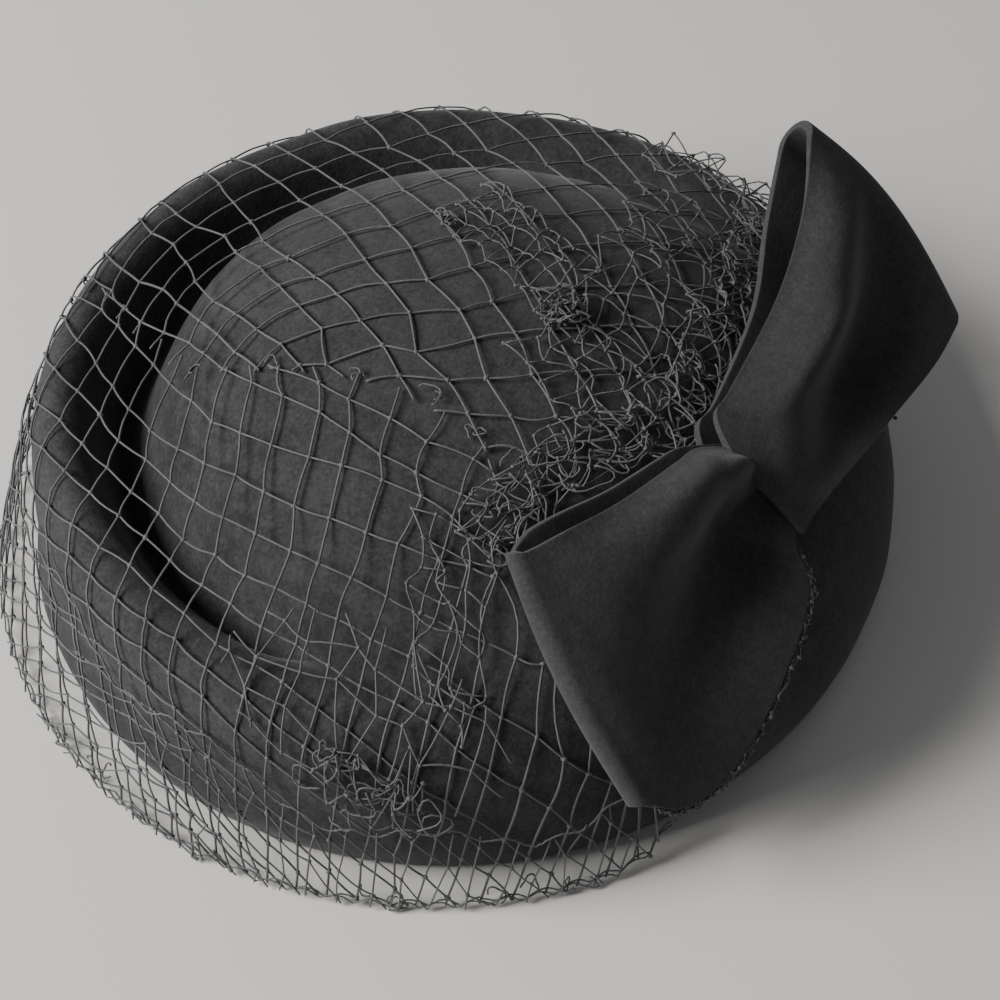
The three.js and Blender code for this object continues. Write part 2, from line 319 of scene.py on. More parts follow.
class Bench:
    """The operators that every piece is modelled with."""

    @staticmethod
    def only(piece: bpy.types.Object) -> None:
        """Leaves one object selected and active.

        Args:
            piece: The object.
        """
        if bpy.context.object is not None and bpy.context.object.mode != "OBJECT":
            bpy.ops.object.mode_set(mode="OBJECT")
        bpy.ops.object.select_all(action="DESELECT")
        piece.select_set(True)
        bpy.context.view_layer.objects.active = piece

    @staticmethod
    def link(name: str, data: bpy.types.ID) -> bpy.types.Object:
        """Puts new data into the scene as an object at the origin.

        Args:
            name: The object's name.
            data: Its mesh, curve, light or camera.

        Returns:
            The object.
        """
        piece = bpy.data.objects.new(name, data)
        bpy.context.scene.collection.objects.link(piece)
        return piece

    @classmethod
    def apply(cls, piece: bpy.types.Object, kind: str, **settings: Any) -> None:
        """Adds a modifier and applies it.

        Args:
            piece: The object it works on.
            kind: The modifier's type.
            settings: Its properties.
        """
        cls.only(piece)
        modifier = piece.modifiers.new(kind.title(), kind)
        for key, value in settings.items():
            setattr(modifier, key, value)
        bpy.ops.object.modifier_apply(modifier=modifier.name)

    @classmethod
    def merged_copy(cls, node: str, name: str) -> bpy.types.Object:
        """Copies a CAD node's mesh, merges its loose triangles and pairs them into quads.

        Args:
            node: The CAD node.
            name: The copy's name.

        Returns:
            The copy.
        """
        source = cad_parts[node]
        piece = cls.link(name, source.data.copy())
        piece.data.materials.clear()
        cls.only(piece)
        bpy.ops.object.mode_set(mode="EDIT")
        bpy.ops.mesh.select_all(action="SELECT")
        bpy.ops.mesh.remove_doubles(threshold=0.00002)
        fold, skew = math.radians(50), math.radians(60)
        bpy.ops.mesh.tris_convert_to_quads(face_threshold=fold, shape_threshold=skew)
        bpy.ops.object.mode_set(mode="OBJECT")
        return piece

    @staticmethod
    def points(piece: bpy.types.Object) -> np.ndarray:
        """A mesh's vertices as rows of x, y and z.

        Args:
            piece: The mesh object.

        Returns:
            The vertices in order.
        """
        flat = np.empty(len(piece.data.vertices) * 3)
        piece.data.vertices.foreach_get("co", flat)
        return flat.reshape(-1, 3)

    @staticmethod
    def set_points(piece: bpy.types.Object, points: np.ndarray) -> None:
        """Moves a mesh's vertices."""
        piece.data.vertices.foreach_set("co", points.ravel())
        piece.data.update()

    @classmethod
    def close(cls, piece: bpy.types.Object) -> None:
        """Merges a mesh's touching points and turns its faces outward.

        Args:
            piece: The mesh object.
        """
        cls.only(piece)
        bpy.ops.object.mode_set(mode="EDIT")
        bpy.ops.mesh.select_all(action="SELECT")
        bpy.ops.mesh.remove_doubles(threshold=0.000001)
        bpy.ops.mesh.normals_make_consistent(inside=False)
        bpy.ops.object.mode_set(mode="OBJECT")

    @classmethod
    def smooth(cls, piece: bpy.types.Object) -> None:
        """Shades a mesh smooth."""
        cls.only(piece)
        bpy.ops.object.shade_smooth()

    @staticmethod
    def dress(piece: bpy.types.Object, material: bpy.types.Material, slot: str, *nodes: str) -> None:
        """Gives a piece its finish and its body, hides the CAD nodes that it stands for, and logs its
        size.

        Args:
            piece: The finished piece.
            material: Its finish.
            slot: The material slot; not used.
            nodes: The CAD nodes that it stands for.
        """
        piece.data.materials.clear()
        piece.data.materials.append(material)
        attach(piece, BODY)
        if nodes:
            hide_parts(*nodes)
        triangles = sum(len(face.vertices) - 2 for face in piece.data.polygons)
        surface = sum(face.area for face in piece.data.polygons)
        log.info("%s: %d triangles, %.5f square metres of surface", piece.name, triangles, surface)


def smoothstep(value: np.ndarray | float) -> np.ndarray | float:
    """A value from 0 to 1 with soft ends."""
    held = np.clip(value, 0.0, 1.0)
    return held * held * (3 - 2 * held)


def catmull(values: np.ndarray, place: float) -> np.ndarray:
    """A Catmull-Rom value of a table's rows, held at its ends.

    Args:
        values: The rows.
        place: Where along them, in rows.

    Returns:
        The interpolated row.
    """
    last = len(values) - 1
    i = min(int(place), last - 1)
    f = place - i
    a, b, c, d = (values[max(0, min(last, i + k))] for k in (-1, 0, 1, 2))
    square, cube = 2 * a - 5 * b + 4 * c - d, 3 * b - a - 3 * c + d
    return 0.5 * (2 * b + (c - a) * f + square * f**2 + cube * f**3)


# ---------------------------------------------------------------- felt shell


@dataclass
class FeltShell:
    """The blocked shell: rolled rim, gutter and domed crown in one felt piece.

    Attributes:
        unevenness: How far hand blocking leaves the felt off its form, in metres.
        patch: The size of that unevenness in metres.
        finer: The size of the finer unevenness beside it.
        middle: The point that outward is told from.
        level: The height above the cut edge over which the unevenness comes in, in metres.
        groove: How much deeper the gutter is pressed where it runs out at the front, in metres.
        groove_turns: Where that stretch starts and ends, in degrees round the crown.
        groove_eases: Over how many degrees it comes in and goes out.
        groove_line: Its distance from the crown's middle, in metres.
        groove_drift: How much farther out it lies at its end.
        groove_bend: From which turn it moves out, and over how many degrees.
        groove_width: Half the groove's width in metres.
        groove_floor: The height below which the felt isn't pressed, and over what height it starts.
    """

    finish: FeltFinish
    unevenness: float = 0.0007
    patch: float = 0.035
    finer: float = 0.4
    middle: tuple[float, float, float] = (0.005, 0.0, 0.01)
    level: float = 0.01
    groove: float = 0.0055
    groove_turns: Span = (175.0, 287.0)
    groove_eases: Span = (40.0, 22.0)
    groove_line: float = 0.0757
    groove_drift: float = 0.0022
    groove_bend: Span = (252.0, 22.0)
    groove_width: float = 0.0034
    groove_floor: Span = (0.022, 0.008)

    def build(self) -> bpy.types.Object:
        """Builds the shell.

        Returns:
            The finished piece.
        """
        shell = Bench.merged_copy("felt_body", "felt_shell")
        Bench.apply(shell, "SUBSURF", levels=2, render_levels=2)
        self._settle(shell)
        Bench.smooth(shell)
        Bench.dress(shell, self.finish.material(), "felt", "felt_body")
        return shell

    def _settle(self, shell: bpy.types.Object) -> None:
        """Leaves the felt a little uneven, both faces together, and presses the gutter deeper.

        Args:
            shell: The subdivided shell.
        """
        points = Bench.points(shell)
        sizes = (self.patch, self.patch * self.finer)
        for k, p in enumerate(points):
            out = p - np.array(self.middle)
            out = out / np.linalg.norm(out)
            broad, close = (noise.noise(Vector(p / size)) for size in sizes)
            points[k] = p + out * (broad + 0.5 * close) * self.unevenness * smoothstep(p[2] / self.level)
        points[:, 2] -= self._pressed(points)
        points[:, 2] = np.maximum(points[:, 2], 0.0)
        Bench.set_points(shell, points)

    def _pressed(self, points: np.ndarray) -> np.ndarray:
        """How far each point goes down where the gutter is pressed deeper.

        Args:
            points: The shell's points.

        Returns:
            The depth at each point in metres.
        """
        around = points[:, :2] - np.array(HEART[:2])
        turn = np.degrees(np.arctan2(around[:, 1], around[:, 0])) % 360
        (start, end), (ease_in, ease_out) = self.groove_turns, self.groove_eases
        share = smoothstep((turn - start) / ease_in) * smoothstep((end - turn) / ease_out)
        bend, over = self.groove_bend
        line = self.groove_line + self.groove_drift * smoothstep((turn - bend) / over)
        narrow = np.exp(-(((np.linalg.norm(around, axis=1) - line) / self.groove_width) ** 2))
        floor, rise = self.groove_floor
        return self.groove * share * narrow * smoothstep((points[:, 2] - floor) / rise)


# ---------------------------------------------------------------- bow


@dataclass(frozen=True)
class LoopSection:
    """One line across a loop's felt, from its upper edge to its lower one, in millimetres.

    Attributes:
        upper: The edge toward the crown.
        lower: The edge toward the table.
        lifts: How far the outer layer rises off the straight line, evenly spaced between the edges.
        gap: The distance down to the under layer.
    """

    upper: tuple[float, float, float]
    lower: tuple[float, float, float]
    lifts: tuple[float, ...]
    gap: float


@dataclass(frozen=True)
class LoopStation:
    """A worked-out place along a loop's outer layer, in millimetres.

    Attributes:
        share: How far along the loop, from 0 at the waist to 1 at the fold.
        upper: The upper edge.
        lower: The lower edge.
        ahead: The way toward the fold.
        out: The way out of the felt.
        lifts: How far the outer layer rises, from the upper edge to the lower one.
        gap: The distance down to the under layer.
    """

    share: float
    upper: Point
    lower: Point
    ahead: Point
    out: Point
    lifts: Point
    gap: float


@dataclass
class BowLoop:
    """A felt strip that runs out, folds back and returns under itself.

    Attributes:
        name: The piece's name.
        replaced: The CAD nodes that it stands for.
        finish: The felt.
        sections: Lines across the outer layer, from the waist to the fold.
        flat: The strip's width and length before it is folded, in metres; not used.
        bulge: How far the fold's middle stands out past its edges, in millimetres.
        underlap: How far the under layer shows past the upper edge, in millimetres.
        underlap_end: The share of the loop before the fold over which that runs out.
        followed: How much of the outer layer's hollows the under layer follows.
        felt: The felt's thickness in millimetres.
        rounding: How far the strip's cut edges are rounded, in metres.
        along: The steps along the outer layer.
        across: The steps across the strip.
        fold_steps: The steps round the fold.
        look: How far to each side the way along the loop is measured, in sections.
    """

    name: str
    replaced: tuple[str, ...]
    finish: FeltFinish
    sections: tuple[LoopSection, ...]
    flat: Span
    bulge: float = 1.6
    underlap: float = 2.4
    underlap_end: float = 0.2
    followed: float = 0.72
    felt: float = 1.8
    rounding: float = 0.0004
    along: int = 40
    across: int = 36
    fold_steps: int = 8
    look: float = 0.1

    def _table(self, pick: Callable[[LoopSection], Sequence[float]]) -> np.ndarray:
        """One column of the sections as rows of numbers."""
        return np.array([pick(section) for section in self.sections], float)

    def _stations(self) -> list[LoopStation]:
        """Even places along the outer layer, from the waist to the fold.

        Returns:
            The places in order.
        """
        uppers, lowers = self._table(lambda s: s.upper), self._table(lambda s: s.lower)
        lifts, gaps = self._table(lambda s: s.lifts), self._table(lambda s: (s.gap,))
        last = len(self.sections) - 1
        stations = []
        for step in range(self.along + 1):
            share = step / self.along
            place = share * last
            upper, lower = catmull(uppers, place), catmull(lowers, place)
            before, after = max(0.0, place - self.look), min(float(last), place + self.look)
            ahead = catmull(uppers + lowers, after) - catmull(uppers + lowers, before)
            ahead /= np.linalg.norm(ahead)
            out = np.cross(lower - upper, ahead)
            out /= np.linalg.norm(out) * math.copysign(1.0, out[0])
            gap = float(catmull(gaps, place)[0])
            stations.append(LoopStation(share, upper, lower, ahead, out, catmull(lifts, place), gap))
        return stations

    def _line(
        self, at: LoopStation, depth: float, rise: Callable[[float], float], reach: float
    ) -> list[Point]:
        """The felt's middle in one line across the strip.

        Args:
            at: The place along the loop.
            depth: How far below the outer layer the line lies.
            rise: Turns the outer layer's lift into this line's lift.
            reach: How far past the place the line stands out.

        Returns:
            The line's points, from the upper edge to the lower one.
        """
        shown = min(1.0, depth / at.gap) * min(1.0, (1 - at.share) / self.underlap_end)
        width = at.upper - at.lower
        upper = at.upper + width / np.linalg.norm(width) * self.underlap * shown
        points = []
        for step in range(self.across + 1):
            w = step / self.across
            lift = rise(float(catmull(at.lifts, w * (len(at.lifts) - 1))))
            push = self.bulge * at.share**3 * math.sin(math.pi * w) + reach
            points.append(upper + (at.lower - upper) * w + at.out * (lift - depth) + at.ahead * push)
        return points

    def _layers(self) -> list[list[Point]]:
        """The felt's middle as lines across it: out along the top, round the fold and back below.

        Returns:
            The lines in order, each with the same number of points.
        """
        stations = self._stations()
        fold = stations[-1]
        radius = fold.gap / 2
        turns = [math.pi * (k + 1) / (self.fold_steps + 1) for k in range(self.fold_steps)]
        outer = [self._line(at, 0.0, lambda lift: lift, 0.0) for at in stations]
        turned = [
            self._line(
                fold, radius * (1 - math.cos(turn)),
                lambda lift, left=1 - turn / math.pi: lift * left, radius * math.sin(turn),
            )
            for turn in turns
        ]
        under = [
            self._line(at, at.gap, lambda lift: self.followed * min(lift, 0.0), 0.0)
            for at in reversed(stations)
        ]
        return [*outer, *turned, *under]

    def build(self) -> bpy.types.Object:
        """Builds the loop as a closed felt strip.

        Returns:
            The finished piece.
        """
        grid = np.array(self._layers()) * MM
        rows, columns = grid.shape[:2]
        faces = [
            (r * columns + c, r * columns + c + 1, (r + 1) * columns + c + 1, (r + 1) * columns + c)
            for r in range(rows - 1) for c in range(columns - 1)
        ]
        mesh = bpy.data.meshes.new(self.name)
        mesh.from_pydata([tuple(p) for p in grid.reshape(-1, 3)], [], faces)
        piece = Bench.link(self.name, mesh)
        Bench.apply(piece, "SOLIDIFY", thickness=self.felt * MM, offset=0.0, use_even_offset=True)
        Bench.close(piece)
        Bench.apply(
            piece, "BEVEL", width=self.rounding, segments=2, limit_method="ANGLE",
            angle_limit=math.radians(50),
        )
        Bench.apply(piece, "SUBSURF", levels=1, render_levels=1)
        Bench.smooth(piece)
        Bench.dress(piece, self.finish.material(), "bow_felt", *self.replaced)
        return piece


# From the middle of the hat to the model's origin, in millimetres.
SHIFT = (5.8, 0.0, 0.0)
FRONT_SECTIONS = (
    LoopSection(
        (68.0, -4.0, 65.4), (80.4, -4.0, 55.4),
        (0, 0, 0, 0, 0, 0, 0, 0, 0), 2.1,
    ),
    LoopSection(
        (61.8, -13.5, 70.6), (84.4, -11.0, 51.8),
        (0.4, 3.4, 5.8, 1.6, -4.4, -4.2, -2.6, -1.0, 0), 3.2,
    ),
    LoopSection(
        (60.0, -21.0, 72.0), (90.0, -14.5, 46.0),
        (0.8, 6.0, 3.6, -4.4, -7.6, -7.0, -4.6, -2.0, -0.2), 4.2,
    ),
    LoopSection(
        (56.0, -36.0, 73.5), (93.0, -29.0, 38.0),
        (0.6, 4.8, 4.6, -1.2, -6.0, -6.4, -4.2, -1.4, 0), 5.0,
    ),
    LoopSection(
        (51.0, -48.0, 74.5), (92.0, -48.5, 26.5),
        (0.5, 2.8, 3.4, 2.4, 0.2, -1.6, -1.4, -0.2, 0), 4.6,
    ),
    LoopSection(
        (48.0, -54.0, 74.0), (87.5, -62.0, 24.5),
        (0.3, 1.6, 2.4, 2.8, 2.8, 2.4, 1.8, 1.0, 0.2), 4.2,
    ),
    LoopSection(
        (46.5, -57.0, 74.0), (82.0, -69.0, 29.5),
        (0, 0.6, 1.0, 1.2, 1.2, 1.0, 0.8, 0.5, 0), 4.0,
    ),
)
BACK_SECTIONS = (
    LoopSection(
        (68.6, -9.8, 67.6), (84.8, -8.6, 53.6),
        (0, 0.3, 0.4, 0.5, 0.5, 0.4, 0.3, 0.2, 0), 6.4,
    ),
    LoopSection(
        (61.0, -4.0, 71.6), (84.6, -4.4, 54.4),
        (0, 0.9, 1.6, 1.9, 1.8, 1.4, 0.8, 0.4, 0), 6.6,
    ),
    LoopSection(
        (60.0, 5.0, 71.2), (85.8, 5.0, 55.6),
        (0, 1.3, 2.5, 3.2, 2.9, 1.9, 0.3, -0.5, 0), 6.6,
    ),
    LoopSection(
        (57.5, 31.0, 74.5), (86.5, 28.0, 53.0),
        (0.3, 2.8, 5.2, 6.0, -0.8, -5.4, -5.4, -2.4, 0), 9.0,
    ),
    LoopSection(
        (53.5, 50.0, 82.0), (87.0, 51.0, 51.0),
        (0.3, 3.8, 4.4, 0.8, -2.6, -3.6, -2.4, 0.0, 0), 12.5,
    ),
    LoopSection(
        (48.5, 62.0, 91.5), (86.0, 65.5, 51.0),
        (0, 0.4, 0.8, 1.0, 1.0, 0.9, 0.7, 0.4, 0), 9.0,
    ),
)


def in_frame(sections: Sequence[LoopSection]) -> tuple[LoopSection, ...]:
    """Moves the sections from the hat's middle to the model's origin.

    Args:
        sections: The sections, measured from the hat's middle.

    Returns:
        The moved sections.
    """

    def move(p: Sequence[float]) -> tuple[float, float, float]:
        """One place moved."""
        return (p[0] + SHIFT[0], p[1] + SHIFT[1], p[2] + SHIFT[2])

    return tuple(LoopSection(move(s.upper), move(s.lower), s.lifts, s.gap) for s in sections)


# ---------------------------------------------------------------- net veil


class VeilForm:
    """The taut surface that the net lies on, read from the CAD veil as profiles round the crown.

    A place on it is given flat, as the distance along the net from the middle of the crown and the
    direction it lies in.
    """

    DIRECTIONS = 96
    STEPS = 64
    # Every ray tilted less than the first meets the net, and none tilted more than the second does.
    TILTS = (math.radians(55), math.radians(110))
    HALVINGS = 14
    # How far inside the hem the net is kept, in metres.
    MARGIN = 0.0006

    def __init__(self) -> None:
        """Casts the profiles."""
        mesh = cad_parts["veil"].data
        tree = BVHTree.FromPolygons(
            [v.co.copy() for v in mesh.vertices], [tuple(p.vertices) for p in mesh.polygons]
        )
        self.profiles = np.zeros((self.DIRECTIONS, self.STEPS, 3))
        for i in range(self.DIRECTIONS):
            turn = 2 * math.pi * i / self.DIRECTIONS
            low, high = self.TILTS
            for _ in range(self.HALVINGS):
                middle = (low + high) / 2
                if self._cast(tree, turn, middle) is not None:
                    low = middle
                else:
                    high = middle
            for k in range(self.STEPS):
                hit = self._cast(tree, turn, low * k / (self.STEPS - 1))
                self.profiles[i, k] = hit if hit is not None else self.profiles[i, k - 1]
        steps = np.linalg.norm(np.diff(self.profiles, axis=1), axis=2)
        self.arcs = np.concatenate([np.zeros((self.DIRECTIONS, 1)), np.cumsum(steps, axis=1)], axis=1)

    def _cast(self, tree: BVHTree, turn: float, tilt: float) -> Point | None:
        """The net's inner face in one direction from the heart, or None below the hem.

        Args:
            tree: The CAD veil's faces.
            turn: The direction round the crown in radians.
            tilt: The direction's angle from straight up.

        Returns:
            The point that is met.
        """
        ray = Vector((math.sin(tilt) * math.cos(turn), math.sin(tilt) * math.sin(turn), math.cos(tilt)))
        hit = tree.ray_cast(Vector(HEART), ray)[0]
        return None if hit is None else np.array(hit)

    def _bearing(self, x: float, y: float) -> tuple[int, int, float]:
        """The profiles on each side of a flat place's direction, and the second one's share.

        Args:
            x: Along the bow's direction.
            y: Toward the nape.

        Returns:
            The two profiles' numbers and the share.
        """
        spot = (math.atan2(y, x) % (2 * math.pi)) / (2 * math.pi) * self.DIRECTIONS
        first = int(spot) % self.DIRECTIONS
        return first, (first + 1) % self.DIRECTIONS, spot - int(spot)

    def reach(self, x: float, y: float) -> float:
        """How far along the net the hem lies in the direction of a flat place."""
        first, second, share = self._bearing(x, y)
        return float(self.arcs[first, -1] * (1 - share) + self.arcs[second, -1] * share)

    def covers(self, p: Point) -> bool:
        """Whether a flat place is within the hem."""
        return math.hypot(p[0], p[1]) < self.reach(p[0], p[1]) - self.MARGIN

    def place(self, x: float, y: float, lift: float = 0.0) -> Point:
        """Finds a flat place on the form.

        Args:
            x: Along the bow's direction, in metres.
            y: Toward the nape, in metres.
            lift: How far outside the form the point stands.

        Returns:
            The point in the model's frame.
        """
        first, second, share = self._bearing(x, y)
        far = math.hypot(x, y)

        def on(profile: int) -> Point:
            """The point that far along one profile.

            Args:
                profile: The profile's number.

            Returns:
                The point.
            """
            step = float(np.interp(far, self.arcs[profile], np.arange(self.STEPS)))
            n = min(int(step), self.STEPS - 2)
            low, high = self.profiles[profile, n], self.profiles[profile, n + 1]
            return low + (step - n) * (high - low)

        point = on(first) * (1 - share) + on(second) * share
        out = point - np.array(HEART)
        return point + out / np.linalg.norm(out) * lift

    def held(self, p: Point, lift: float) -> Point:
        """A flat place on the form, brought back within the hem if it lies past it.

        Args:
            p: The flat place.
            lift: How far outside the form the point stands.

        Returns:
            The point in the model's frame.
        """
        far = math.hypot(p[0], p[1])
        share = min(1.0, (self.reach(p[0], p[1]) - self.MARGIN) / far)
        return self.place(p[0] * share, p[1] * share, lift)


@dataclass(frozen=True)
class NetTable:
    """A coarse table of where a net's knots lie flat, in millimetres, with how far it reaches.

    Attributes:
        columns: Which thread each column of the table is, counted along the first family.
        rows: Which thread each row is, counted across it.
        knots: The flat place of the knot at each row and column.
    """

    columns: tuple[int, ...]
    rows: tuple[int, ...]
    knots: tuple[tuple[tuple[float, float], ...], ...]

    def flat(self, u: float, v: float) -> Point:
        """Finds the flat place of a point of the net, straight on past the table's edges.

        Args:
            u: Along the first family of threads, in cells.
            v: Across it, in cells.

        Returns:
            The place in metres.
        """
        rows = np.array([self._read(self.columns, np.array(row, float), u) for row in self.knots])
        return self._read(self.rows, rows, v) * MM

    @staticmethod
    def _read(marks: tuple[int, ...], values: np.ndarray, at: float) -> np.ndarray:
        """Reads a row of values between its marks on a smooth curve, and straight on past its ends.

        Args:
            marks: The thread at which each value stands.
            values: The values.
            at: The thread to read at.

        Returns:
            The value.
        """
        if at <= marks[0] or at >= marks[-1]:
            a, b = (0, 1) if at <= marks[0] else (-1, -2)
            share = (at - marks[a]) / (marks[b] - marks[a])
            return values[a] * (1 - share) + values[b] * share
        before, after = 2 * values[0] - values[1], 2 * values[-1] - values[-2]
        padded = np.concatenate([[before], values, [after]])
        return catmull(padded, 1 + float(np.interp(at, marks, np.arange(len(marks)))))


LOWER_TABLE = NetTable(
    (-2, 1, 4, 7, 11), (0, 2, 4, 6, 9),
    (
        ((-84, -20), (-61, -31), (-39, -40), (-12, -43), (25, -43)),
        ((-82, -37), (-55, -51), (-30, -59), (-5, -61), (28, -60)),
        ((-81, -53), (-52, -66), (-25, -75), (0, -78), (32, -78)),
        ((-81, -71), (-52, -80), (-25, -88), (3, -94), (37, -98)),
        ((-82, -97), (-48, -102), (-20, -107), (7, -115), (43, -126)),
    ),
)
UPPER_TABLE = NetTable(
    (-2, 1, 3, 5, 8), (-8, -6, -4, -2, 0),
    (
        ((-64, 62), (-29, 39), (-7, 24), (12, 9), (40, -12)),
        ((-74, 43), (-39, 22), (-18, 9), (0, -4), (25, -22)),
        ((-82, 24), (-53, 7), (-33, -4), (-16, -15), (8, -31)),
        ((-86, 3), (-62, -10), (-45, -19), (-29, -27), (-6, -40)),
        ((-84, -20), (-61, -31), (-47, -37), (-33, -42), (-18, -50)),
    ),
)


@dataclass
class Gather:
    """The line along which the net is drawn together, given flat in millimetres.

    Attributes:
        line: Places on the line, with the crown on its left.
        reach: How far from the line the net is still drawn in.
        loose: How near the line the net stands up in loops.
        hidden: How far past the line the net is left out.
        fade: How far beyond the line's two ends its pull is felt, in metres.
    """

    line: tuple[tuple[float, float], ...]
    reach: float = 0.016
    loose: float = 0.007
    hidden: float = 0.024
    fade: float = 0.009

    def __post_init__(self) -> None:
        """Works out the line's stretches."""
        self.points = np.array(self.line) * MM
        self.steps = np.diff(self.points, axis=0)
        self.lengths = np.linalg.norm(self.steps, axis=1)

    def at(self, share: float, aside: float = 0.0) -> Point:
        """Finds a flat place beside the line.

        Args:
            share: How far along the line, from 0 to 1.
            aside: How far to its left in metres.

        Returns:
            The flat place.
        """
        ends = np.concatenate([[0.0], np.cumsum(self.lengths)])
        far = share * ends[-1]
        k = min(int(np.searchsorted(ends, far, side="right")) - 1, len(self.steps) - 1)
        way = self.steps[k] / self.lengths[k]
        return self.points[k] + way * (far - ends[k]) + np.array([-way[1], way[0]]) * aside

    def pulled(self, p: Point) -> tuple[Point, float]:
        """Draws a flat place in toward the line.

        Args:
            p: The flat place.

        Returns:
            The new place and how loose the net is there, from 0 to 1. The place is not a number where
            the net would lie far past the line, hidden under the bow.
        """
        shares = np.clip(((p - self.points[:-1]) * self.steps).sum(1) / self.lengths**2, 0, 1)
        feet = self.points[:-1] + self.steps * shares[:, None]
        k = int(np.argmin(((p - feet) ** 2).sum(1)))
        way = self.steps[k] / self.lengths[k]
        side = np.array([-way[1], way[0]])
        offset = p - feet[k]
        far = math.copysign(float(np.linalg.norm(offset)), float(offset @ side))
        past = abs(float(offset @ way))
        held = math.exp(-((past / self.fade) ** 2))
        if far < -self.hidden and held > 0.5:
            return np.array([math.nan, math.nan]), 0.0
        near = far if far > self.reach else self.reach * math.exp((far - self.reach) / self.reach)
        moved = feet[k] + side * near
        return p + (moved - p) * held, held * math.exp(-near / self.loose)


class ThreadBook:
    """Collects threads and knots and makes one mesh of them."""

    # The smallest and largest share of a knot's width, depth and height.
    KNOT_SHAPES = ((0.8, 1.35), (0.75, 1.1), (0.7, 1.0))

    def __init__(self, radius: float, knot: float) -> None:
        """Starts an empty book.

        Args:
            radius: Half a thread's thickness in metres.
            knot: Half a knot's width in metres.
        """
        self.radius = radius
        self.knot = knot
        self.threads: list[list[Point]] = []
        self.knots: list[Point] = []

    def add(self, thread: Sequence[Point]) -> None:
        """Adds a thread that is long enough to be seen."""
        if len(thread) > 1:
            self.threads.append(list(thread))

    def mesh(self, name: str) -> bpy.types.Object:
        """Makes round threads with capped ends, and a small knob at each knot.

        Args:
            name: The piece's name.

        Returns:
            The mesh object.
        """
        curve = bpy.data.curves.new(name, "CURVE")
        curve.dimensions = "3D"
        curve.bevel_depth = self.radius
        curve.bevel_resolution = 0
        curve.use_fill_caps = True
        for thread in self.threads:
            spline = curve.splines.new("POLY")
            spline.points.add(len(thread) - 1)
            spline.points.foreach_set("co", [c for p in thread for c in (*p, 1.0)])
        piece = Bench.link(name, curve)
        Bench.only(piece)
        bpy.ops.object.convert(target="MESH")
        piece = bpy.context.object
        if self.knots:
            knobs = self._knobs()
            Bench.only(piece)
            knobs.select_set(True)
            bpy.ops.object.join()
        return piece

    def _knobs(self) -> bpy.types.Object:
        """All the knots as one mesh of small faceted balls.

        Returns:
            The mesh object.
        """
        bpy.ops.object.select_all(action="DESELECT")
        bpy.ops.mesh.primitive_ico_sphere_add(subdivisions=1, radius=self.knot, location=(0, 0, 0))
        ball = bpy.context.object
        shape = Bench.points(ball)
        faces = [tuple(face.vertices) for face in ball.data.polygons]
        bpy.data.objects.remove(ball)
        points, all_faces = [], []
        draw = random.Random(11)
        for knot in self.knots:
            angle, axis = draw.uniform(*ANY_TURN), (draw.random(), draw.random(), 0.3)
            turn = np.array(Matrix.Rotation(angle, 3, axis))
            stretch = np.array([draw.uniform(*shares) for shares in self.KNOT_SHAPES])
            base = len(points)
            points.extend(tuple(p) for p in (shape * stretch) @ turn.T + knot)
            all_faces.extend(tuple(i + base for i in face) for face in faces)
        mesh = bpy.data.meshes.new("knobs")
        mesh.from_pydata(points, [], all_faces)
        return Bench.link("knobs", mesh)


@dataclass(frozen=True)
class Patch:
    """A four-sided flat patch, given by a corner and two sides in metres."""

    corner: Span
    along: Span
    across: Span

    def at(self, share: float, aside: float) -> Point:
        """The flat place at a share of each side."""
        return np.array(self.corner) + np.array(self.along) * share + np.array(self.across) * aside


def ring_place(turn: float, far: float) -> Point:
    """The flat place at a turn in degrees and a distance from the crown's middle."""
    return np.array([math.cos(math.radians(turn)), math.sin(math.radians(turn))]) * far


def near(draw: random.Random, middle: Sequence[float], spread: Sequence[float]) -> Point:
    """A random flat place near a middle."""
    return np.array([draw.gauss(middle[0], spread[0]), draw.gauss(middle[1], spread[1])])


BOW_GATHER = Gather((
    (38, -51), (40, -42), (43, -33), (47, -24), (52, -14), (56, -4), (58, 4), (58, 14), (55, 29),
    (51, 50), (42, 78),
))
CREASE = Gather(((-46, -39), (-30, -33), (-16, -29.5), (-4, -27.5), (12, -28), (25, -31), (34, -42)))
# Where the two runs of net meet, as flat x and y in millimetres.
MEETING = (
    (-153, 13), (-84, -20), (-61, -31), (-46, -37.5), (-30, -33), (-16, -29.5), (-4, -27.5),
    (12, -28), (25, -31), (34, -42), (60, -60),
)


class Panel(Enum):
    """The two runs of net that meet along the crease."""

    FRONT = "front"
    BACK = "back"


